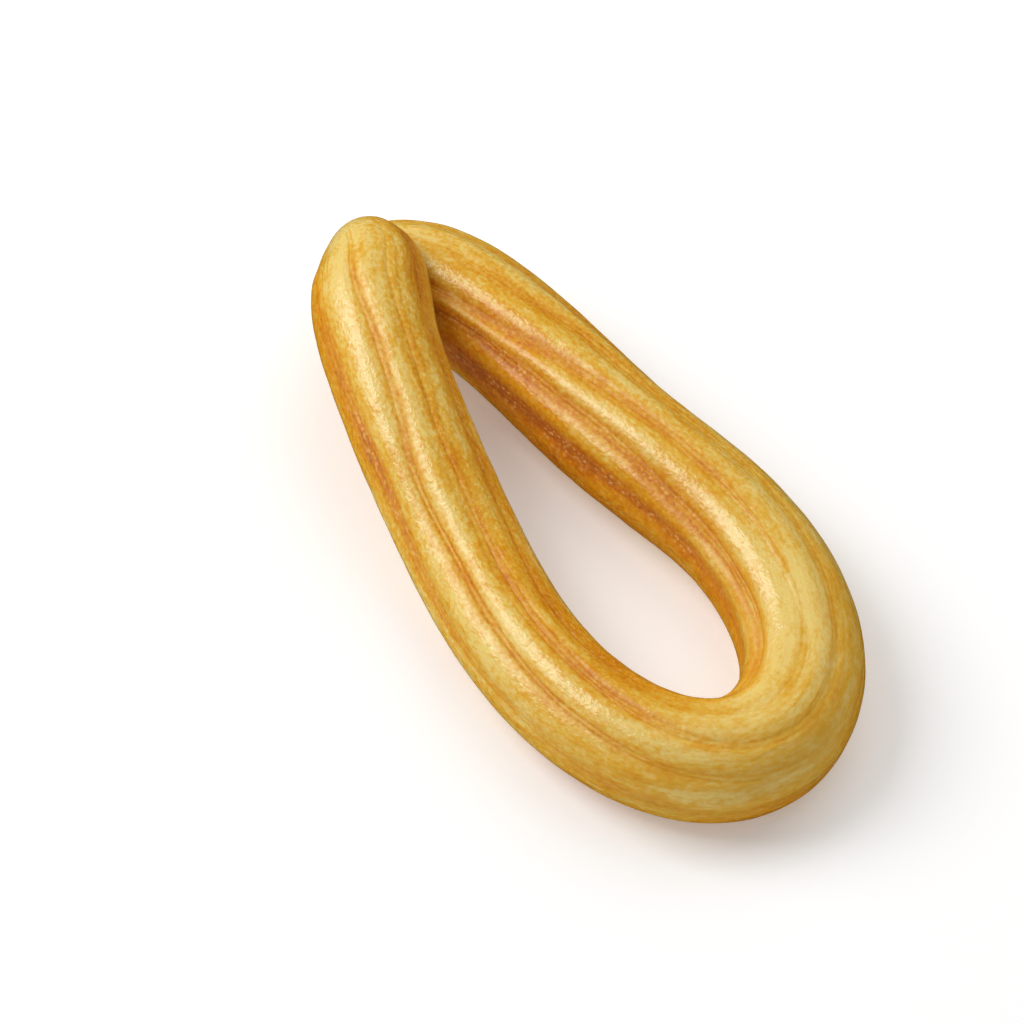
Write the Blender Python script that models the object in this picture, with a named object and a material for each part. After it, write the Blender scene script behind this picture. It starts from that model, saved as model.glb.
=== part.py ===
"""A loop churro, fried and lying flat.

One rope of dough is piped through a star nozzle and bent into a teardrop. The first tip
lies over the second, and frying has joined the two. The underside is a little flat where
the churro rests. Metres, +Z up, with the origin on the floor under the churro's middle.
"""
import math

import bmesh
import bpy
import numpy as np
from mathutils import Matrix, Vector

# The rope's centre line, an egg-shaped curve seen from above, with its tips towards +Y
LOOP_LENGTH = 0.0881         # along Y, before the ends are drawn out
LOOP_WIDTH = 0.0345          # across X
TIP_NARROWING = 0.167        # how far the widest place moves towards the bend
SHOULDER_FULLNESS = 0.124    # squares off the sides
END_ROUNDNESS = 0.087        # draws the bend and the tips out along Y
LEAN = 0.0005                # how far the loop leans out of symmetry
FIRST_TURN = 0.37            # angle round the curve where the first tip begins
LAST_TURN = 5.94             # angle round the curve where the second tip begins

# The rope itself
ROPE_RADIUS = 0.0085         # out to the ridges
SIDE_TAPER = 0.0004          # the first limb is this much thinner, the second this much thicker
BEND_TAPER = 0.0003          # the bend is this much thinner, the tips this much thicker
RIDGES = 9                   # points of the nozzle's star
GROOVE_DEPTH = 0.0012        # between two ridges
RIDGE_BREADTH = 0.8          # less makes the ridges broader and the grooves narrower
GROOVE_ANGLE = math.radians(30)   # of one groove from the rope's outer side, before it twists
GROOVE_STRAY = math.radians(6)    # how far the grooves stray from even spacing
STRAY_PHASE = math.radians(45)
TWIST_AT_BEND = math.radians(52)  # how far bending has turned the rope in itself
TWIST_PLACE = 0.121          # where along the rope the twist is greatest
TWIST_REACH = (0.064, 0.090)  # how quickly it fades towards the first and second tips

# Its two rounded tips, first and second, and how they lie
TIP_LENGTHS = (0.0117, 0.0169)
TIP_FULLNESS = (1.55, 2.05)  # 2 is an ellipse, and less is more pointed
TIP_BENDS = (math.radians(33), math.radians(19))  # anticlockwise, towards the very end
TIP_LIFT = 0.008             # how far the first tip is raised to lie on the second
LIFT_ANGLE = 1.34            # how far round the loop the rise takes
FLOOR_SINK = 0.06            # share of the radius that is flattened against the floor

# How finely the solid is divided
FACETS_PER_RIDGE = 5
STATIONS = 80                # along the rope, between its rounded tips
TIP_STATIONS = (8, 9)        # in each rounded tip
LOOP_SAMPLES = 1500          # to measure the way along the loop
TIP_SAMPLES = 30             # to measure the way along each tip
END_CUT = 0.004              # share of a tip left off, so that it closes on a small flat end
WELD_DISTANCE = 1e-7
FLOOR_BOX = 0.2

CRUST_COLOUR = (0.67, 0.38, 0.07, 1.0)


def loop_radius(turn):
    """The rope's radius at angles round the loop: 0 at the tips, pi at the bend."""
    return ROPE_RADIUS - SIDE_TAPER * np.sin(turn) + BEND_TAPER * np.cos(turn)


def loop_line(turn):
    """The middle of the rope at angles round the loop."""
    across = np.sin(turn) - TIP_NARROWING * np.sin(2 * turn) + SHOULDER_FULLNESS * np.sin(3 * turn)
    along = np.cos(turn) + END_ROUNDNESS * np.cos(3 * turn)
    lean = LEAN * (np.cos(turn) + np.cos(2 * turn) + np.cos(3 * turn))
    rise = np.clip(1 - (turn - FIRST_TURN) / LIFT_ANGLE, 0, 1)
    height = (1 - FLOOR_SINK) * loop_radius(turn) + TIP_LIFT * rise ** 2 * (3 - 2 * rise)
    return np.column_stack((lean - LOOP_WIDTH / 2 * across, LOOP_LENGTH / 2 * along, height))


def tip_line(last, before_last, tip):
    """The middle of the rope beyond the loop's last point, bending as it goes."""
    steps = np.linspace(0, 1, TIP_SAMPLES)[1:]
    ahead = last - before_last
    headings = math.atan2(ahead[1], ahead[0]) + TIP_BENDS[tip] * steps
    strides = np.column_stack((np.cos(headings), np.sin(headings), np.zeros_like(steps)))
    return last + np.cumsum(strides, axis=0) * TIP_LENGTHS[tip] / len(steps)


def tip_rounding(from_end, tip):
    """How much of the rope's radius is left at a distance from one of its ends."""
    share = np.clip(from_end / TIP_LENGTHS[tip], END_CUT, 1)
    power = TIP_FULLNESS[tip]
    return (1 - (1 - share) ** power) ** (1 / power)


def rope_stations():
    """Points, radii and twists along the rope, close together in its rounded tips."""
    turns = np.linspace(FIRST_TURN, LAST_TURN, LOOP_SAMPLES)
    loop = loop_line(turns)
    first_tip = tip_line(loop[0], loop[1], 0)[::-1]
    last_tip = tip_line(loop[-1], loop[-2], 1)
    line = np.vstack((first_tip, loop, last_tip))
    line_radii = loop_radius(np.pad(turns, (len(first_tip), len(last_tip)), "edge"))
    travelled = np.pad(np.cumsum(np.linalg.norm(np.diff(line, axis=0), axis=1)), (1, 0))
    length = travelled[-1]

    easing = [1 - np.cos(np.linspace(0, math.pi / 2, count, endpoint=False)) for count in TIP_STATIONS]
    stations = np.concatenate((
        TIP_LENGTHS[0] * easing[0],
        np.linspace(TIP_LENGTHS[0], length - TIP_LENGTHS[1], STATIONS),
        length - TIP_LENGTHS[1] * easing[1][::-1],
    ))
    points = np.column_stack([np.interp(stations, travelled, line[:, axis]) for axis in range(3)])
    radii = np.interp(stations, travelled, line_radii)
    radii *= tip_rounding(stations, 0) * tip_rounding(length - stations, 1)
    reach = np.where(stations < TWIST_PLACE, TWIST_REACH[0], TWIST_REACH[1])
    twists = TWIST_AT_BEND * np.exp(-((stations - TWIST_PLACE) / reach) ** 2)
    return points, radii, twists


def add_collection(name):
    collection = bpy.data.collections.new(name)
    bpy.context.scene.collection.children.link(collection)
    return collection


def add_curve(name, points, cyclic):
    curve = bpy.data.curves.new(name, "CURVE")
    spline = curve.splines.new("POLY")
    spline.points.add(len(points) - 1)
    for target, point in zip(spline.points, points):
        target.co = (*point, 1.0)
    spline.use_cyclic_u = cyclic
    return curve


def star_section():
    """The nozzle's star at unit size: broad round ridges with narrow grooves between them."""
    depth = GROOVE_DEPTH / ROPE_RADIUS
    facets = RIDGES * FACETS_PER_RIDGE
    points = []
    for facet in range(facets):
        place = 2 * math.pi * facet / facets
        crown = abs(math.sin(RIDGES * place / 2)) ** RIDGE_BREADTH
        radius = 1 - depth * (1 - crown)
        angle = GROOVE_ANGLE + place + GROOVE_STRAY * math.sin(2 * place + STRAY_PHASE)
        points.append((radius * math.cos(angle), radius * math.sin(angle), 0.0))
    curve = add_curve("star_section", points, cyclic=True)
    curve.dimensions = "2D"
    return bpy.data.objects.new("star_section", curve)


def crust_material():
    material = bpy.data.materials.new("fried_dough")
    material.use_nodes = True
    shader = material.node_tree.nodes["Principled BSDF"]
    shader.inputs["Base Color"].default_value = CRUST_COLOUR
    shader.inputs["Roughness"].default_value = 0.5
    shader.inputs["Metallic"].default_value = 0.0
    material.diffuse_color = CRUST_COLOUR
    return material


def make_floor(collection):
    """A block whose top is the floor: it trims the underside flat."""
    mesh = bpy.data.meshes.new("floor_block")
    block = bmesh.new()
    bmesh.ops.create_cube(block, size=FLOOR_BOX, matrix=Matrix.Translation((0, 0, -FLOOR_BOX / 2)))
    block.to_mesh(mesh)
    block.free()
    floor = bpy.data.objects.new("floor_block", mesh)
    floor.hide_render = True
    floor.display_type = "WIRE"
    collection.objects.link(floor)
    return floor


def make_churro(collection, cutters):
    """Sweep the star along the loop, then trim its underside and join its crossed tips."""
    section = star_section()
    cutters.objects.link(section)
    points, radii, twists = rope_stations()
    path = add_curve("rope_path", points, cyclic=False)
    path.dimensions = "3D"
    path.twist_mode = "Z_UP"
    path.bevel_mode = "OBJECT"
    path.bevel_object = section
    path.use_fill_caps = True
    for point, radius, twist in zip(path.splines[0].points, radii, twists):
        point.radius = radius
        point.tilt = twist
    rope = bpy.data.objects.new("rope_path", path)
    cutters.objects.link(rope)

    graph = bpy.context.evaluated_depsgraph_get()
    mesh = bpy.data.meshes.new_from_object(rope.evaluated_get(graph))
    mesh.name = "churro"
    bpy.data.objects.remove(rope)
    bpy.data.objects.remove(section)

    dough = bmesh.new()
    dough.from_mesh(mesh)
    bmesh.ops.remove_doubles(dough, verts=dough.verts, dist=WELD_DISTANCE)
    bmesh.ops.recalc_face_normals(dough, faces=dough.faces)
    corners = np.array([vertex.co for vertex in dough.verts])
    middle = (corners.min(axis=0) + corners.max(axis=0)) / 2
    bmesh.ops.translate(dough, verts=dough.verts, vec=Vector((-middle[0], -middle[1], 0)))
    dough.to_mesh(mesh)
    dough.free()
    mesh.shade_smooth()
    mesh.materials.clear()
    mesh.materials.append(crust_material())

    churro = bpy.data.objects.new("churro", mesh)
    collection.objects.link(churro)
    trim = churro.modifiers.new("flat_underside", "BOOLEAN")
    trim.operation = "DIFFERENCE"
    trim.solver = "EXACT"
    trim.use_self = True
    trim.object = make_floor(cutters)
    return churro


for old in list(bpy.data.objects):
    bpy.data.objects.remove(old, do_unlink=True)
make_churro(add_collection("loop_churro"), add_collection("cutters"))
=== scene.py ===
"""A loop churro lying on a pale floor, under plain soft studio light.

The object is one rope of fried dough. Sizes are in metres and the angles round the rope in
degrees, counted from the inner side of the loop over its top: 0 is the inner side, 90 the top,
180 the outer side. Places along the rope are counted from the first tip, round the bend, to the
last tip.
"""

import math

import bpy
import numpy as np
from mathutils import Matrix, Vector, noise


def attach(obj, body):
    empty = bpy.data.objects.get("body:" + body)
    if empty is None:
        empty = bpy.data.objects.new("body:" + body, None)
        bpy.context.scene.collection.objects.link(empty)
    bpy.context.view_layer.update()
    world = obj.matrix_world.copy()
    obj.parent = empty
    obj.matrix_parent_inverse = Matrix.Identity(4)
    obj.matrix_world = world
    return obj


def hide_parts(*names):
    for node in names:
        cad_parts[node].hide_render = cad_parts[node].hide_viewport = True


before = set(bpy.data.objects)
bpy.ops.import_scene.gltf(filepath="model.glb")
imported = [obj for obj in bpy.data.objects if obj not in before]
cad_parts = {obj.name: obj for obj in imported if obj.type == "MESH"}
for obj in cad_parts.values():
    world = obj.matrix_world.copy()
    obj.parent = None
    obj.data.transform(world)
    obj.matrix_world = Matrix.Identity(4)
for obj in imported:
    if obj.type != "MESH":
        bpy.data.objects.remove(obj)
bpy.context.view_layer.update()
bpy.ops.object.select_all(action="DESELECT")


# ---------------------------------------------------------------------------
# The churro
# One rope of flour dough, squeezed through a star nozzle with nine teeth, laid round into a loop
# with its first tip pressed over its last, and fried in oil. The crowns of its ridges come out
# pale gold and shiny with oil, the grooves between them orange-brown and grainy.
# ---------------------------------------------------------------------------

# The line that the rope follows, as the solid's does.
LOOP_LENGTH = 0.0881
LOOP_WIDTH = 0.0345
TIP_NARROWING = 0.167
SHOULDER_FULLNESS = 0.124
END_ROUNDNESS = 0.087
LEAN = 0.0005
FIRST_TURN = 0.37
LAST_TURN = 5.94
ROPE_RADIUS = 0.0085
SIDE_TAPER = 0.0004
BEND_TAPER = 0.0003
TIP_LENGTHS = (0.0117, 0.0169)
TIP_BENDS = (math.radians(33), math.radians(19))
TIP_LIFT = 0.008
LIFT_ANGLE = 1.34
FLOOR_SINK = 0.06
# Moves the line so that the finished loop stands in the middle of its frame.
LINE_SHIFT = np.array((-0.000479, -0.001232, 0.0))
LOOP_SAMPLES = 1500
TIP_SAMPLES = 30


def loop_radius(turn):
    return ROPE_RADIUS - SIDE_TAPER * np.sin(turn) + BEND_TAPER * np.cos(turn)


def loop_line(turn):
    across = (
        np.sin(turn) - TIP_NARROWING * np.sin(2 * turn) + SHOULDER_FULLNESS * np.sin(3 * turn)
    )
    along = np.cos(turn) + END_ROUNDNESS * np.cos(3 * turn)
    lean = LEAN * (np.cos(turn) + np.cos(2 * turn) + np.cos(3 * turn))
    rise = np.clip(1 - (turn - FIRST_TURN) / LIFT_ANGLE, 0, 1)
    height = (1 - FLOOR_SINK) * loop_radius(turn) + TIP_LIFT * rise**2 * (3 - 2 * rise)
    return np.column_stack((lean - LOOP_WIDTH / 2 * across, LOOP_LENGTH / 2 * along, height))


def tip_line(last, before_last, tip):
    steps = np.linspace(0, 1, TIP_SAMPLES)[1:]
    ahead = last - before_last
    headings = math.atan2(ahead[1], ahead[0]) + TIP_BENDS[tip] * steps
    strides = np.column_stack((np.cos(headings), np.sin(headings), np.zeros_like(steps)))
    return last + np.cumsum(strides, axis=0) * TIP_LENGTHS[tip] / len(steps)


turns = np.linspace(FIRST_TURN, LAST_TURN, LOOP_SAMPLES)
loop = loop_line(turns)
first_tip = tip_line(loop[0], loop[1], 0)[::-1]
last_tip = tip_line(loop[-1], loop[-2], 1)
rope_line = np.vstack((first_tip, loop, last_tip)) + LINE_SHIFT
line_radii = loop_radius(np.pad(turns, (len(first_tip), len(last_tip)), "edge"))
travelled = np.pad(np.cumsum(np.linalg.norm(np.diff(rope_line, axis=0), axis=1)), (1, 0))
ROPE_LENGTH = travelled[-1]

# The nine grooves. Each one's angle is given at a few places along the rope, in millimetres from
# the first tip, before the twist that turns them all together round the bend.
TWIST_AT_BEND = 52
TWIST_PLACE = 0.121
TWIST_REACH = (0.064, 0.090)
GROOVE_ANGLES = {
    "outer flank": ((0, 150), (20, 145), (45, 140), (70, 140), (92, 133), (115, 140), (150, 147),
                    (230, 146)),
    "outer shoulder": ((0, 113), (15, 106), (24, 95), (33, 95), (47, 105), (60, 97), (72, 92),
                       (100, 92), (115, 101), (150, 108), (230, 106)),
    "top": ((0, 72), (15, 71), (26, 65), (45, 67), (65, 61), (87, 52), (97, 53), (115, 71),
            (130, 68), (150, 73), (165, 78), (185, 84), (203, 72), (230, 70)),
    "inner shoulder": ((0, 44), (30, 33), (55, 31), (80, 29), (92, 22), (105, 26), (120, 37),
                       (145, 35), (157, 42), (170, 51), (180, 49), (197, 34), (230, 34)),
    "inner flank": ((0, 0), (60, -6), (90, -14), (125, -10), (145, -8), (160, 1), (172, 14),
                    (188, 15), (210, 14), (230, 5)),
    "lower inner": ((0, -52), (80, -56), (125, -47), (160, -25), (190, -17), (230, -35)),
    "under": ((0, -92), (110, -88), (170, -70), (230, -85)),
    "lower outer": ((0, -128), (110, -122), (230, -122)),
    "low flank": ((0, -172), (60, -175), (110, -168), (170, -165), (230, -168)),
}
# How deep each groove is cut, and how plainly it is marked, along the rope.
GROOVE_DEPTHS = {
    "outer flank": ((0, 0.0), (12, 0.1), (30, 0.75), (75, 0.7), (95, 0.4), (120, 0.3), (215, 0.6),
                    (230, 0.0)),
    "outer shoulder": ((0, 0.0), (5, 0.1), (12, 0.6), (25, 0.8), (50, 1.0), (80, 0.9), (105, 0.3),
                       (170, 0.3), (190, 0.7), (222, 0.3), (230, 0.0)),
    "top": ((0, 0.0), (3, 0.12), (7, 0.25), (18, 0.4), (45, 0.6), (90, 0.75), (112, 0.4),
            (130, 0.4), (165, 0.5), (190, 0.9), (215, 0.3), (230, 0.0)),
    "inner shoulder": ((0, 0.0), (4, 0.3), (10, 0.45), (30, 0.6), (80, 0.5), (110, 0.25),
                       (130, 0.35), (150, 0.4), (168, 0.9), (200, 0.9), (222, 0.4), (230, 0.0)),
    "inner flank": ((0, 0.3), (60, 0.6), (110, 0.4), (135, 0.9), (190, 1.0), (230, 0.5)),
    "lower inner": ((0, 0.6), (110, 0.3), (160, 0.9), (230, 0.6)),
    "under": ((0, 0.7), (110, 0.4), (230, 0.7)),
    "lower outer": ((0, 0.8), (110, 0.5), (230, 0.8)),
    "low flank": ((0, 0.0), (12, 0.1), (30, 0.6), (100, 0.5), (160, 0.7), (230, 0.0)),
}
# Half the width, in millimetres, of the grainy lip that stands in the bottom of each groove.
LIP_WIDTHS = {
    "outer flank": ((0, 0.3), (20, 0.8), (60, 0.7), (90, 0.35), (230, 0.5)),
    "outer shoulder": ((0, 0.15), (25, 0.3), (60, 0.28), (100, 0.25), (230, 0.45)),
    "top": ((0, 1.1), (30, 1.0), (65, 1.05), (95, 0.6), (120, 0.3), (150, 0.4), (170, 0.8),
            (195, 0.6), (230, 0.4)),
    "inner shoulder": ((0, 0.6), (50, 1.7), (75, 1.2), (95, 0.5), (120, 0.3), (150, 0.5),
                       (172, 0.9), (200, 0.45), (230, 0.4)),
    "inner flank": ((0, 0.5), (90, 0.5), (130, 0.4), (165, 0.55), (190, 0.6), (230, 0.4)),
    "lower inner": ((0, 0.5), (160, 0.7), (230, 0.5)),
    "under": ((0, 0.5), (230, 0.5)),
    "lower outer": ((0, 0.6), (230, 0.5)),
    "low flank": ((0, 0.6), (80, 0.5), (230, 0.5)),
}
# How sharply the two thin lines beside each lip are drawn.
LINE_SHARPNESS = {
    "outer flank": ((0, 0.1), (20, 0.5), (60, 0.5), (90, 0.2), (230, 0.2)),
    "outer shoulder": ((0, 0.3), (6, 1.0), (20, 1.0), (42, 0.8), (50, 1.4), (80, 1.2),
                       (110, 0.4), (180, 0.2), (200, 0.5), (230, 0.1)),
    "top": ((0, 0.0), (15, 0.1), (60, 0.1), (80, 0.4), (100, 0.6), (115, 0.2), (150, 0.2),
            (170, 0.5), (195, 0.4), (230, 0.0)),
    "inner shoulder": ((0, 0.0), (60, 0.1), (105, 0.1), (160, 0.0), (178, 0.5), (200, 0.3),
                       (230, 0.0)),
    "inner flank": ((0, 0.1), (100, 0.2), (130, 0.9), (170, 0.7), (230, 0.2)),
    "lower inner": ((0, 0.2), (230, 0.2)),
    "under": ((0, 0.2), (230, 0.2)),
    "lower outer": ((0, 0.4), (230, 0.4)),
    "low flank": ((0, 0.1), (40, 0.3), (100, 0.2), (160, 0.4), (230, 0.1)),
}
MILLIMETRE = 0.001
FULL_CIRCLE = 360
# The relief across one ridge, in millimetres: how deep a full groove is, how high its lip stands
# in it, and the thin valley beside the lip. A smaller power makes the crowns broader.
DEEPEST_GROOVE = 1.0
CROWN_POWER = 0.75
LIP_HEIGHT = 0.30
VALLEY_DEPTH = 0.065
VALLEY_PLACE = 0.14
VALLEY_WIDTH = 0.20
# How much the rope's radius swells, in millimetres at places along it.
SWELLING = ((0, 0), (20, 0.10), (50, 0.25), (85, 0.15), (110, 0.05), (150, 0.1), (230, 0))


def smooth_steps(places, points):
    """Values at places, on a smooth curve through the given points."""
    at, values = np.array(points, float).T
    slopes = np.gradient(values, at) if len(at) > 2 else np.zeros(2) + np.diff(values) / np.diff(at)
    below = np.clip(np.searchsorted(at, places, side="right") - 1, 0, len(at) - 2)
    step = at[below + 1] - at[below]
    share = np.clip((places - at[below]) / step, 0, 1)
    start = values[below] * (1 + 2 * share) + slopes[below] * step * share
    end = values[below + 1] * (3 - 2 * share) - slopes[below + 1] * step * (1 - share)
    return start * (1 - share) ** 2 + end * share**2


def rope_twist(places):
    reach = np.where(places < TWIST_PLACE, TWIST_REACH[0], TWIST_REACH[1])
    return TWIST_AT_BEND * np.exp(-(((places - TWIST_PLACE) / reach) ** 2))


# The grooves stray a little from their lines. Each wobble has a length and a width, the degrees
# that it turns them by, and the place where its noise starts. Their lips are uneven in width.
WOBBLES = (((0.028, 0.009), 3.0, 5.3), ((0.006, 0.003), 0.6, 27.1))
LIP_PATCH = (0.012, 0.006)
LIP_UNEVENNESS = 0.6
LIP_START = 63.0


def drawn_noise(places, angles, size, start):
    """Smooth noise from -1 to 1 over the rope, drawn out along it."""
    length, width = size
    round_x = ROPE_RADIUS / width * np.cos(np.radians(angles))
    round_y = ROPE_RADIUS / width * np.sin(np.radians(angles))
    spots = zip(places / length + start, round_x, round_y)
    return np.array([noise.noise(Vector(spot)) for spot in spots])


def nearest_grooves(places, angles):
    """For each spot of the surface: how far across its ridge it lies, from 0 to 1, the gap to the
    nearest groove's middle in millimetres, that groove's mark, the half width of its lip and how
    sharp its lines are, and the depth of the grooves on both sides, blended."""
    marks = places / MILLIMETRE
    for size, stray, start in WOBBLES:
        angles = angles + stray * drawn_noise(places, angles, size, start)
    behind = np.full(places.shape, float(FULL_CIRCLE))
    ahead = behind.copy()
    found_behind = np.zeros((3, len(places)))
    found_ahead = np.zeros((3, len(places)))
    for name, points in GROOVE_ANGLES.items():
        groove = smooth_steps(marks, points) + rope_twist(places)
        tables = (GROOVE_DEPTHS, LIP_WIDTHS, LINE_SHARPNESS)
        sizes = np.array([smooth_steps(marks, table[name]) for table in tables])
        past = (angles - groove) % FULL_CIRCLE
        found_behind = np.where(past < behind, sizes, found_behind)
        behind = np.minimum(past, behind)
        short = (groove - angles) % FULL_CIRCLE
        found_ahead = np.where(short < ahead, sizes, found_ahead)
        ahead = np.minimum(short, ahead)
    share = behind / (behind + ahead)
    gap = np.radians(np.minimum(behind, ahead)) * ROPE_RADIUS / MILLIMETRE
    mark, lip, line = np.where(behind < ahead, found_behind, found_ahead)
    lip = lip * (1 + LIP_UNEVENNESS * drawn_noise(places, angles, LIP_PATCH, LIP_START))
    depth = found_behind[0] + (found_ahead[0] - found_behind[0]) * share
    return share, gap, mark, lip, line, depth


# Low lumps, small blisters and fine lengthwise scores, left by the nozzle and by the frying. Each
# has a length and a width, a height, and the place where its noise starts.
LUMPS = ((0.020, 0.007), 0.00025, 3.1)
BLISTERS = ((0.0045, 0.0026), 0.00008, 41.7)
SCORES = ((0.016, 0.0011), 0.00006, 17.9)
# The crumb on the lips, and how far it reaches, in half widths of the lip.
CRUMB_SIZE = (0.0024, 0.0010)
CRUMB_HEIGHT = 0.00016
CRUMB_START = 83.3
CRUMB_REACH = 1.5
# How far the rounding of each tip reaches, and how full it is.
ROUNDED_LENGTHS = (0.0180, 0.0169)
TIP_FULLNESS = (2.3, 2.05)


def tip_rounding(from_end, tip):
    share = np.clip(from_end / ROUNDED_LENGTHS[tip], 0, 1)
    power = TIP_FULLNESS[tip]
    return (1 - (1 - share) ** power) ** (1 / power)


def rope_radius(places, angles):
    radius = np.interp(places, travelled, line_radii)
    radius += smooth_steps(places / MILLIMETRE, SWELLING) * MILLIMETRE
    share, gap, mark, lip, line, depth = nearest_grooves(places, angles)
    crown = np.sin(np.pi * share) ** CROWN_POWER
    relief = -DEEPEST_GROOVE * depth * (1 - crown)
    relief += LIP_HEIGHT * mark * np.clip(1 - (gap / lip) ** 2, 0, 1)
    valley = np.exp(-(((gap - lip - VALLEY_PLACE) / VALLEY_WIDTH) ** 2))
    relief -= VALLEY_DEPTH * line * valley
    radius += relief * MILLIMETRE
    grainy = mark * np.exp(-((gap / (CRUMB_REACH * lip)) ** 2))
    radius += CRUMB_HEIGHT * grainy * drawn_noise(places, angles, CRUMB_SIZE, CRUMB_START)
    for size, height, start in (LUMPS, BLISTERS, SCORES):
        radius += height * drawn_noise(places, angles, size, start)
    return radius * tip_rounding(places, 0) * tip_rounding(ROPE_LENGTH - places, 1)


# A flat grid is rolled into a straight rope. Its columns crowd towards the top, where the
# relief is seen, by up to so many degrees, and each tip takes a share of its rows.
ROWS_ALONG = 336
COLUMNS_AROUND = 286
TIP_SHARES = (0.055, 0.075)
CROWDING = 20
UNDERSIDE = -90
MERGE_DISTANCE = 1e-7


def place_along(share):
    """Places along the rope for shares of its rows, eased at both tips."""
    first, last = TIP_SHARES
    between_tips = ROPE_LENGTH - sum(TIP_LENGTHS)
    middle = TIP_LENGTHS[0] + between_tips * (share - first) / (1 - first - last)
    quarter = np.pi / 2
    start = TIP_LENGTHS[0] * (1 - np.cos(quarter * np.clip(share / first, 0, 1)))
    end = ROPE_LENGTH - TIP_LENGTHS[1] * (1 - np.cos(quarter * np.clip((1 - share) / last, 0, 1)))
    return np.where(share < first, start, np.where(share > 1 - last, end, middle))


def angle_around(share):
    return UNDERSIDE + FULL_CIRCLE * share + CROWDING * np.sin(2 * np.pi * share)


bpy.ops.mesh.primitive_grid_add(
    x_subdivisions=ROWS_ALONG, y_subdivisions=COLUMNS_AROUND, size=1, location=(0, 0, 0)
)
churro = bpy.context.object
churro.name = "churro_crust"
mesh = churro.data
flat = np.zeros(len(mesh.vertices) * 3)
mesh.vertices.foreach_get("co", flat)
flat = flat.reshape(-1, 3) + 0.5
places = place_along(flat[:, 0])
angles = angle_around(flat[:, 1])
radii = rope_radius(places, angles)
turned = np.radians(angles)
rolled = np.column_stack((places, radii * np.cos(turned), radii * np.sin(turned)))
mesh.vertices.foreach_set("co", rolled.ravel())
mesh.update()

bpy.ops.object.mode_set(mode="EDIT")
bpy.ops.mesh.select_all(action="SELECT")
bpy.ops.mesh.remove_doubles(threshold=MERGE_DISTANCE)
bpy.ops.mesh.normals_make_consistent(inside=False)
bpy.ops.mesh.select_mode(type="FACE")
bpy.ops.mesh.select_all(action="DESELECT")
bpy.ops.object.mode_set(mode="OBJECT")

# The straight rope is bent along its line.
LINE_POINTS = 420
line_data = bpy.data.curves.new("rope_line", "CURVE")
line_data.dimensions = "3D"
line_data.twist_mode = "Z_UP"
spline = line_data.splines.new("POLY")
spline.points.add(LINE_POINTS - 1)
even = np.linspace(0, ROPE_LENGTH, LINE_POINTS)
for point, place in zip(spline.points, even):
    spot = [np.interp(place, travelled, rope_line[:, axis]) for axis in range(3)]
    point.co = (*spot, 1)
line_object = bpy.data.objects.new("rope_line", line_data)
bpy.context.collection.objects.link(line_object)
bend = churro.modifiers.new("bend", "CURVE")
bend.object = line_object
bend.deform_axis = "POS_X"
bpy.ops.object.modifier_apply(modifier="bend")
bpy.data.objects.remove(line_object)

# The tips are pressed into one where they cross, and the underside is flat where it lies. The
# rope is parted in the middle of its bend, so that its two halves can be joined as solids.
CUTTER_SIZE = 0.3
MIDDLE_SHARE = 0.5
middle_place = place_along(MIDDLE_SHARE)
middle_spot = [np.interp(middle_place, travelled, rope_line[:, axis]) for axis in range(3)]
mesh = churro.data
corner_uv = np.zeros(len(mesh.loops) * 2)
mesh.uv_layers.active.data.foreach_get("uv", corner_uv)
corner_share = corner_uv[::2]
for face in mesh.polygons:
    shares = corner_share[face.loop_start : face.loop_start + face.loop_total]
    face.select = bool(shares.mean() > MIDDLE_SHARE)
bpy.ops.object.mode_set(mode="EDIT")
bpy.ops.mesh.separate(type="SELECTED")
bpy.ops.object.mode_set(mode="OBJECT")
last_half = next(piece for piece in bpy.context.selected_objects if piece != churro)


def close_half(half):
    """Closes the open end with a fan of faces round one point, the same for both halves."""
    bpy.ops.object.select_all(action="DESELECT")
    half.select_set(True)
    bpy.context.view_layer.objects.active = half
    bpy.ops.object.mode_set(mode="EDIT")
    bpy.ops.mesh.select_mode(type="EDGE")
    bpy.ops.mesh.select_all(action="DESELECT")
    bpy.ops.mesh.select_non_manifold()
    bpy.ops.mesh.edge_face_add()
    bpy.ops.mesh.select_mode(type="FACE")
    bpy.ops.mesh.poke()
    bpy.ops.object.mode_set(mode="OBJECT")
    half.data.vertices[-1].co = middle_spot
    bpy.ops.object.mode_set(mode="EDIT")
    bpy.ops.mesh.select_all(action="SELECT")
    bpy.ops.mesh.normals_make_consistent(inside=False)
    bpy.ops.object.mode_set(mode="OBJECT")


close_half(last_half)
close_half(churro)
bpy.ops.mesh.primitive_cube_add(size=CUTTER_SIZE, location=(0, 0, -CUTTER_SIZE / 2))
cutter = bpy.context.object
bpy.ops.object.select_all(action="DESELECT")
churro.select_set(True)
bpy.context.view_layer.objects.active = churro
for operation, other in (("UNION", last_half), ("DIFFERENCE", cutter)):
    press = churro.modifiers.new("press", "BOOLEAN")
    press.operation = operation
    press.solver = "MANIFOLD"
    press.object = other
    bpy.ops.object.modifier_apply(modifier="press")
    bpy.data.objects.remove(other)

mesh = churro.data
corners = len(mesh.loops)
corner_uv = np.zeros(corners * 2)
mesh.uv_layers.active.data.foreach_get("uv", corner_uv)
corner_uv = corner_uv.reshape(-1, 2)
corner_vertex = np.zeros(corners, int)
mesh.loops.foreach_get("vertex_index", corner_vertex)
spots = np.zeros(len(mesh.vertices) * 3)
mesh.vertices.foreach_get("co", spots)
spots = spots.reshape(-1, 3)
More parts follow.
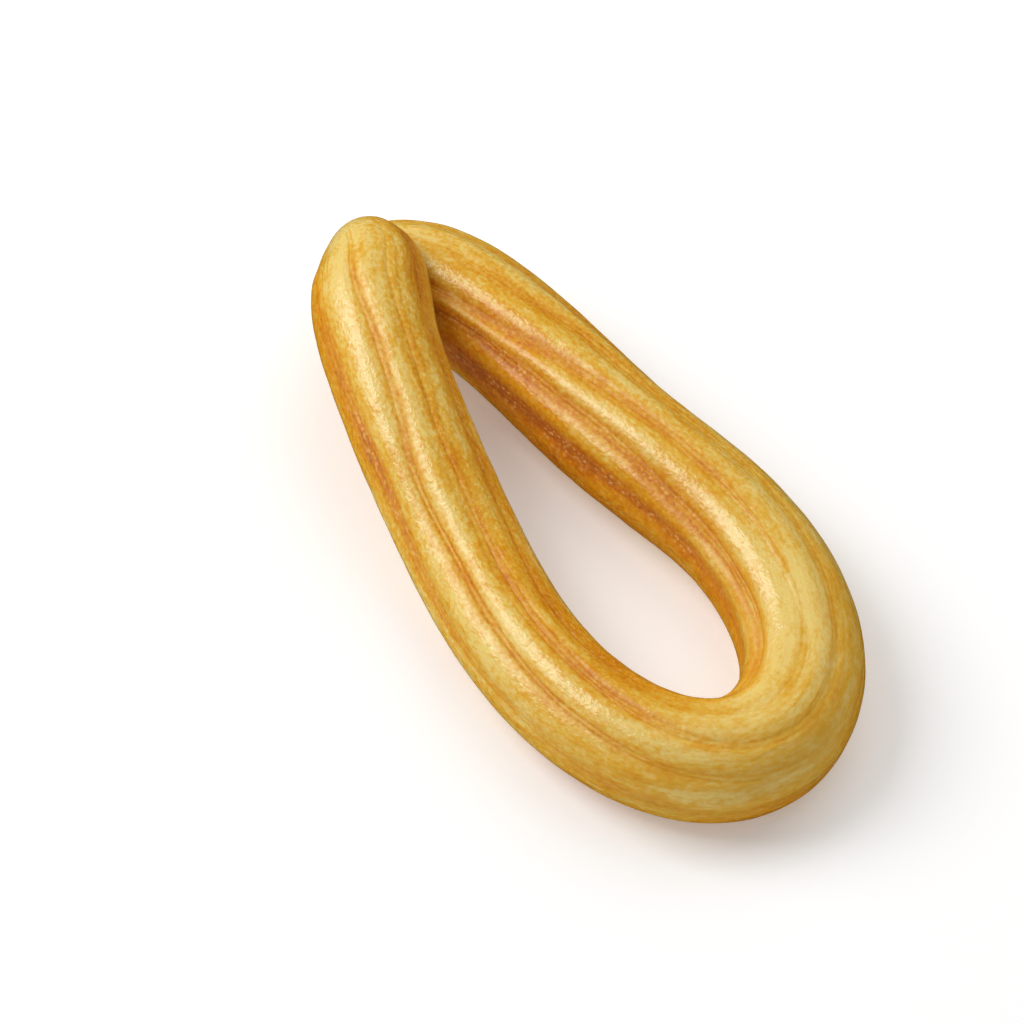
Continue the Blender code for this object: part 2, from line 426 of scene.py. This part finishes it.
# The flat spot's corners are read first, and the rope's own after them, so that the vertices on
# the edge of the spot keep the rope's places.
FACING_DOWN = -0.999
FLOOR_GAP = 1e-6
on_floor = np.zeros(corners, bool)
for face in mesh.polygons:
    if face.normal.z < FACING_DOWN and abs(face.center.z) < FLOOR_GAP:
        on_floor[face.loop_start : face.loop_start + face.loop_total] = True
vertex_uv = np.zeros((len(mesh.vertices), 2))
vertex_uv[corner_vertex[on_floor]] = corner_uv[on_floor]
vertex_uv[corner_vertex[~on_floor]] = corner_uv[~on_floor]
places = place_along(vertex_uv[:, 0])
angles = angle_around(vertex_uv[:, 1])
_, gap, mark, lip, line, _ = nearest_grooves(places, angles)


def add_attribute(name, kind, field, values):
    layer = mesh.attributes.new(name, kind, "POINT")
    layer.data.foreach_set(field, values.astype(np.float32).ravel())


rounding = tip_rounding(places, 0) * tip_rounding(ROPE_LENGTH - places, 1)
turned = np.radians(angles)
from_axis = ROPE_RADIUS * rounding
straight = np.column_stack((places, from_axis * np.cos(turned), from_axis * np.sin(turned)))
add_attribute("rope_place", "FLOAT_VECTOR", "vector", straight)
add_attribute("groove_gap", "FLOAT", "value", gap)
add_attribute("groove_mark", "FLOAT", "value", mark)
add_attribute("lip_width", "FLOAT", "value", lip)
add_attribute("line_sharpness", "FLOAT", "value", line)

# Where the crust is made darker or paler: a place along the rope in millimetres, an angle round it,
# how far the patch reaches each way, and how much darker it is. Most patches are browning of the
# crust; those marked below are painted shade and painted highlights.
BROWNING_AND_PAINTED_LIGHT_PATCHES = (
    (22, 168, 26, 24, 0.30),
    (75, 175, 30, 22, -0.06),
    (88, 56, 17, 26, 0.45),
    (108, 28, 15, 24, 0.26),
    # Painted highlight on a crown just past the bend.
    (128, 96, 18, 18, -0.05),
    # Painted shade, with some browning, on the inner side of the last limb, where the first shades
    # it: this row and the next.
    (195, 22, 18, 16, 0.22),
    (168, -22, 20, 18, 0.12),
    (30, 155, 25, 18, 0.08),
    (45, 25, 40, 26, 0.12),
    # Painted shade, with some browning, on the inner side of the last limb: this row and the next.
    (188, 2, 32, 34, 0.34),
    (150, -10, 22, 34, 0.18),
    # Painted shade on the front of the bend, which faces away from the light.
    (118, 185, 30, 45, 0.22),
    (185, 165, 50, 35, 0.15),
    (6, 110, 9, 60, -0.12),
    # Painted shade, with some browning, on the inner side of the first tip, where it lies against
    # the last.
    (8, 36, 20, 38, 0.38),
    (205, 90, 18, 50, 0.08),
    # Painted highlights on crowns of the first limb and just past the bend: this row and the next
    # two.
    (30, 118, 30, 12, -0.10),
    (125, 62, 18, 20, -0.10),
    (130, 105, 22, 16, -0.08),
)


def browning_and_painted_light_at(places, angles):
    browned_with_painted_light = np.zeros(places.shape)
    for place, angle, reach, spread, amount in BROWNING_AND_PAINTED_LIGHT_PATCHES:
        away = (angles - angle + FULL_CIRCLE / 2) % FULL_CIRCLE - FULL_CIRCLE / 2
        along = (places / MILLIMETRE - place) / reach
        browned_with_painted_light += amount * np.exp(-(along**2) - (away / spread) ** 2)
    return browned_with_painted_light


# The tips are fried evenly, so the patches, painted light among them, and the darker underside
# fade out where the rope rounds off.
# The crust is drawn darker towards its underside.
UNDERSIDE_DARKENING = 0.25
EVEN_ROUNDING = 0.7
darker_underside = UNDERSIDE_DARKENING * np.clip(-np.sin(turned), 0, 1)
fading = np.clip(rounding / EVEN_ROUNDING, 0, 1)
browning_and_painted_light = (browning_and_painted_light_at(places, angles) + darker_underside) * fading
add_attribute("browning_and_painted_light", "FLOAT", "value", browning_and_painted_light)

# The crust is stretched smooth round the outside of the bend.
SMOOTH_PLACE = 0.122
SMOOTH_REACH = 0.030
SMOOTHING = 0.5
smoothed = np.exp(-(((places - SMOOTH_PLACE) / SMOOTH_REACH) ** 2))
add_attribute("graininess", "FLOAT", "value", 1 - SMOOTHING * smoothed)

SHARPEST_SMOOTH = math.radians(55)
bpy.ops.object.shade_smooth_by_angle(angle=SHARPEST_SMOOTH)


def sheet_colour(code):
    """A colour given as sRGB hex, turned to linear, with full opacity."""
    parts = [int(code[i : i + 2], 16) / 255 for i in (1, 3, 5)]
    return tuple(c / 12.92 if c <= 0.04045 else ((c + 0.055) / 1.055) ** 2.4 for c in parts) + (1,)


def add_node(tree, kind, settings=None, inputs=None):
    """Adds a node. An input is a plain value, or another node's output to link."""
    node = tree.nodes.new(kind)
    for name, value in (settings or {}).items():
        setattr(node, name, value)
    for key, value in (inputs or {}).items():
        if isinstance(value, bpy.types.NodeSocket):
            tree.links.new(value, node.inputs[key])
        else:
            node.inputs[key].default_value = value
    return node


# Fried dough: a thin golden crust with a film of frying oil, slightly see-through. The crowns
# shine with the oil. The grooves are matt, with orange-brown grain and pale specks, partly crumb
# and partly painted glints. The colour also holds painted shade and painted highlights.
crust = bpy.data.materials.new("fried_dough_crust")
crust.use_nodes = True
tree = crust.node_tree
tree.nodes.clear()


def crust_value(name, output="Fac"):
    return add_node(tree, "ShaderNodeAttribute", {"attribute_name": name}).outputs[output]


place = crust_value("rope_place", "Vector")
gap_out = crust_value("groove_gap")
mark_out = crust_value("groove_mark")
lip_out = crust_value("lip_width")
line_out = crust_value("line_sharpness")
browning_and_light_out = crust_value("browning_and_painted_light")
graininess = crust_value("graininess")

# The patterns of the crust: how long each is along the rope, and how wide round it.
STREAK = (0.026, 0.0012)
FLECK = (0.0022, 0.0009)
GRAIN = (0.0007, 0.00055)
CRUMB = (0.00072, 0.00056)
CRUMB_PATCH = (0.008, 0.0022)
MOTTLE = (0.0028, 0.0014)
CLOUD = (0.014, 0.006)
PATTERN_ROUGHNESS = 0.55


def drawn_place(size):
    """The place on the rope, counted in lengths and widths of a pattern."""
    length, width = size
    scale = (1 / length, 1 / width, 1 / width)
    node = add_node(tree, "ShaderNodeVectorMath", {"operation": "MULTIPLY"}, {0: place, 1: scale})
    return node.outputs[0]


def drawn_pattern(size, detail):
    pattern = add_node(
        tree, "ShaderNodeTexNoise", None,
        {
            "Vector": drawn_place(size),
            "Scale": 1.0,
            "Detail": detail,
            "Roughness": PATTERN_ROUGHNESS,
        },
    )
    return pattern.outputs["Fac"]


def drawn_cells(size):
    """Round grains: how far each spot is from its grain's middle, and a number for each grain."""
    inputs = {"Vector": drawn_place(size), "Scale": 1.0}
    cells = add_node(tree, "ShaderNodeTexVoronoi", None, inputs)
    return cells.outputs["Distance"], cells.outputs["Color"]


def math_node(operation, *values, clamp=False):
    settings = {"operation": operation, "use_clamp": clamp}
    return add_node(tree, "ShaderNodeMath", settings, dict(enumerate(values))).outputs[0]


def bell(value, width):
    """Falls off on both sides of zero, as far as the width."""
    part = math_node("DIVIDE", value, width)
    return math_node("EXPONENT", math_node("MULTIPLY", math_node("MULTIPLY", part, part), -1.0))


def ease_between(value, low, high):
    node = add_node(
        tree, "ShaderNodeMapRange", {"interpolation_type": "SMOOTHSTEP"},
        {"Value": value, "From Min": low, "From Max": high},
    )
    return node.outputs[0]


def mix_colours(amount, first, second):
    node = add_node(tree, "ShaderNodeMix", {"data_type": "RGBA"}, {0: amount, 6: first, 7: second})
    return node.outputs[2]


PATTERN_MIDDLE = 0.5


def from_middle(pattern):
    return math_node("SUBTRACT", pattern, PATTERN_MIDDLE)


streaks = drawn_pattern(STREAK, 3.0)
flecks = drawn_pattern(FLECK, 1.0)
grain = math_node("MULTIPLY", from_middle(drawn_pattern(GRAIN, 2.0)), graininess)
mottle = drawn_pattern(MOTTLE, 2.0)
clouds = drawn_pattern(CLOUD, 2.0)
patches = drawn_pattern(CRUMB_PATCH, 1.0)

# The lip in each groove, the thin dark valleys on its two sides, and the deeper gold near it.
# The darker colour in the valleys is painted shade. The lip fades out between two shares of its
# half width, and there is less gold where the lines are sharp. Places and widths are in
# millimetres.
LIP_FADE = (1.15, 0.55)
DARK_PLACE = 0.12
DARK_WIDTH = 0.20
NEAR_GOLD_WIDTH = 1.0
NEAR_GOLD = 0.17
WIDE_GOLD_WIDTH = 2.2
WIDE_GOLD = 0.38
GOLD_BESIDE_LINES = -0.14
lip_edge = math_node("DIVIDE", gap_out, lip_out)
on_lip = math_node("MULTIPLY", ease_between(lip_edge, *LIP_FADE), mark_out)
from_valley = math_node("SUBTRACT", math_node("SUBTRACT", gap_out, lip_out), DARK_PLACE)
painted_valley_shade = math_node("MULTIPLY", bell(from_valley, DARK_WIDTH), line_out)
# The wide band is partly browning and partly painted shade on the sides of each crown, which leaves
# its crest paler.
wide_share = math_node("MULTIPLY_ADD", line_out, GOLD_BESIDE_LINES, WIDE_GOLD)
wide_band = math_node("MULTIPLY", bell(gap_out, WIDE_GOLD_WIDTH), wide_share)
golden_band = math_node("MULTIPLY_ADD", bell(gap_out, NEAR_GOLD_WIDTH), NEAR_GOLD, wide_band)
near_groove = math_node("MULTIPLY", golden_band, mark_out)

# How brown the crust is drawn, its painted shade and painted highlights included: 0 is the palest
# gold and 1 the deepest brown. Each part has its amount.
PLAIN_BROWNING = 0.06
BROWNING_AND_SHADE_PARTS = (
    (painted_valley_shade, 0.20), (on_lip, 0.02), (near_groove, 1.0), (from_middle(streaks), 0.5),
    (from_middle(clouds), 0.7), (from_middle(mottle), 0.4), (from_middle(flecks), 0.25),
    (grain, 0.9),
)
browned_with_painted_light = math_node("ADD", browning_and_light_out, PLAIN_BROWNING)
for part, amount in BROWNING_AND_SHADE_PARTS:
    browned_with_painted_light = math_node("MULTIPLY_ADD", part, amount, browned_with_painted_light)
gold_to_brown = add_node(tree, "ShaderNodeValToRGB", None, {0: browned_with_painted_light})
FRY_COLOURS = (
    (0.0, "#ECCE77"), (0.25, "#E4B23D"), (0.5, "#DC970E"), (0.75, "#D17F02"), (1.0, "#B86402"),
)
# A new ramp has two stops, so the others are added.
for at, _ in FRY_COLOURS[2:]:
    gold_to_brown.color_ramp.elements.new(at)
for stop, (at, code) in zip(gold_to_brown.color_ramp.elements, FRY_COLOURS):
    stop.position = at
    stop.color = sheet_colour(code)

# Pale specks stand out where the crust is grainy: on the lips and the darker sides. They are partly
# dry crumb and partly painted glints. A speck is as large as its grain's number makes it, and its
# rim is soft.
SPECK_COLOUR = sheet_colour("#EFBA66")
SMALLEST_SPECK = 0.10
SPECK_GROWTH = 0.55
SPECK_RIM = (-0.10, 0.22)
SPECKS_EVERYWHERE = 0.10
SPECKS_WHERE_DARKENED = 0.3
SPECKS_BY_GROOVES = 0.5
SPECKED_WIDTH = 1.6
SPECKED_PATCHES = (0.36, 0.6)
from_grain, grain_number = drawn_cells(CRUMB)
grain_size = math_node("MULTIPLY_ADD", grain_number, SPECK_GROWTH, SMALLEST_SPECK)
specks = ease_between(math_node("SUBTRACT", grain_size, from_grain), *SPECK_RIM)
by_groove = math_node("MULTIPLY", bell(gap_out, SPECKED_WIDTH), mark_out)
grainy = math_node("MULTIPLY", by_groove, SPECKS_BY_GROOVES)
grainy = math_node("MULTIPLY", grainy, ease_between(patches, *SPECKED_PATCHES))
least_room = math_node("ADD", grainy, SPECKS_EVERYWHERE)
speck_room = math_node("MULTIPLY_ADD", browning_and_light_out, SPECKS_WHERE_DARKENED, least_room)
speck_amount = math_node("MULTIPLY", specks, speck_room, clamp=True)
colour = mix_colours(speck_amount, gold_to_brown.outputs["Color"], SPECK_COLOUR)

# The finest relief: each pattern has its share of the height.
BUMP_DEPTH = 0.00014
BUMP_STRENGTH = 0.8
STREAK_RELIEF = 0.6
height = math_node("MULTIPLY", streaks, STREAK_RELIEF)
for part, amount in ((mottle, 0.6), (flecks, 0.4), (grain, 1.1), (specks, 0.15)):
    height = math_node("MULTIPLY_ADD", part, amount, height)
bump_inputs = {"Strength": BUMP_STRENGTH, "Distance": BUMP_DEPTH, "Height": height}
bump = add_node(tree, "ShaderNodeBump", None, bump_inputs)

# The oiled crowns are smooth, and the crust is duller where it is brown and in the grooves.
OILED_ROUGHNESS = 0.22
BROWN_ROUGHNESS = 0.1
GROOVE_ROUGHNESS = 0.35
MATT_WIDTH = 1.3
matt = math_node("MULTIPLY", bell(gap_out, MATT_WIDTH), mark_out)
rough = math_node("MULTIPLY_ADD", browned_with_painted_light, BROWN_ROUGHNESS, OILED_ROUGHNESS)
rough = math_node("MULTIPLY_ADD", matt, GROOVE_ROUGHNESS, rough)
skin = add_node(
    tree, "ShaderNodeBsdfPrincipled", {"subsurface_method": "RANDOM_WALK"},
    {
        "Base Color": colour,
        "Roughness": rough,
        "Normal": bump.outputs["Normal"],
        "IOR": 1.45,
        "Specular IOR Level": 0.7,
        "Subsurface Weight": 0.4,
        "Subsurface Radius": (1.0, 0.4, 0.1),
        "Subsurface Scale": 0.0011,
    },
)
add_node(tree, "ShaderNodeOutputMaterial", None, {"Surface": skin.outputs[0]})
mesh.materials.clear()
mesh.materials.append(crust)

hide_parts("churro")
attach(churro, "root")


# ---------------------------------------------------------------------------
# The floor
# A wide sheet of smooth white laminate, laid flat as a studio table.
# ---------------------------------------------------------------------------

FLOOR_SIZE = 6
bpy.ops.mesh.primitive_plane_add(size=FLOOR_SIZE, location=(0, 0, 0))
floor = bpy.context.object
floor.name = "studio_floor"
laminate = bpy.data.materials.new("white_laminate")
laminate.use_nodes = True
surface = laminate.node_tree.nodes["Principled BSDF"]
surface.inputs["Base Color"].default_value = sheet_colour("#EFEFEF")
surface.inputs["Roughness"].default_value = 0.9
surface.inputs["Specular IOR Level"].default_value = 0.1
surface.inputs["Emission Color"].default_value = (1, 1, 1, 1)
surface.inputs["Emission Strength"].default_value = 0.20
floor.data.materials.append(laminate)
floor.visible_glossy = False


# ---------------------------------------------------------------------------
# Light and camera
# Three large soft lights, the strongest from behind on the left, and an even white room, seen by a
# long lens. Only the strongest light shines in the oil on the crust.
# ---------------------------------------------------------------------------

LIGHT_DISTANCE = 0.9
# Direction, size and power of each light.
SOFT_LIGHTS = (
    ((-0.46, 0.50, 0.73), 0.60, 5.5),
    ((-0.90, 0.00, 0.40), 0.90, 0.5),
    ((0.55, 0.25, 0.78), 0.90, 2.8),
)
ROOM_LIGHT = 0.34
LOOK_AT = Vector((-0.00695, 0.00222, 0.008))
CAMERA_TURN = math.radians(-32)
CAMERA_HEIGHT = math.radians(50)
CAMERA_DISTANCE = 0.600
LENS = 153.98
SENSOR_WIDTH = 36


def aim(thing, spot):
    thing.rotation_euler = (spot - thing.location).to_track_quat("-Z", "Y").to_euler()


SHINING_DIRECTION = SOFT_LIGHTS[0][0]
for direction, size, power in SOFT_LIGHTS:
    spot = LOOK_AT + Vector(direction).normalized() * LIGHT_DISTANCE
    bpy.ops.object.light_add(type="AREA", location=spot)
    light = bpy.context.object
    light.data.size = size
    light.data.energy = power
    light.visible_glossy = direction == SHINING_DIRECTION
    aim(light, LOOK_AT)

room = bpy.data.worlds.new("studio_room")
room.use_nodes = True
room.node_tree.nodes["Background"].inputs["Color"].default_value = (1, 1, 1, 1)
room.node_tree.nodes["Background"].inputs["Strength"].default_value = ROOM_LIGHT
room.cycles_visibility.glossy = False
bpy.context.scene.world = room

back = Vector(
    (
        math.sin(CAMERA_TURN) * math.cos(CAMERA_HEIGHT),
        -math.cos(CAMERA_TURN) * math.cos(CAMERA_HEIGHT),
        math.sin(CAMERA_HEIGHT),
    )
)
bpy.ops.object.camera_add(location=LOOK_AT + back * CAMERA_DISTANCE)
camera = bpy.context.object
camera.data.lens = LENS
camera.data.sensor_width = SENSOR_WIDTH
aim(camera, LOOK_AT)
bpy.context.scene.camera = camera
bpy.context.scene.view_settings.view_transform = "Standard"
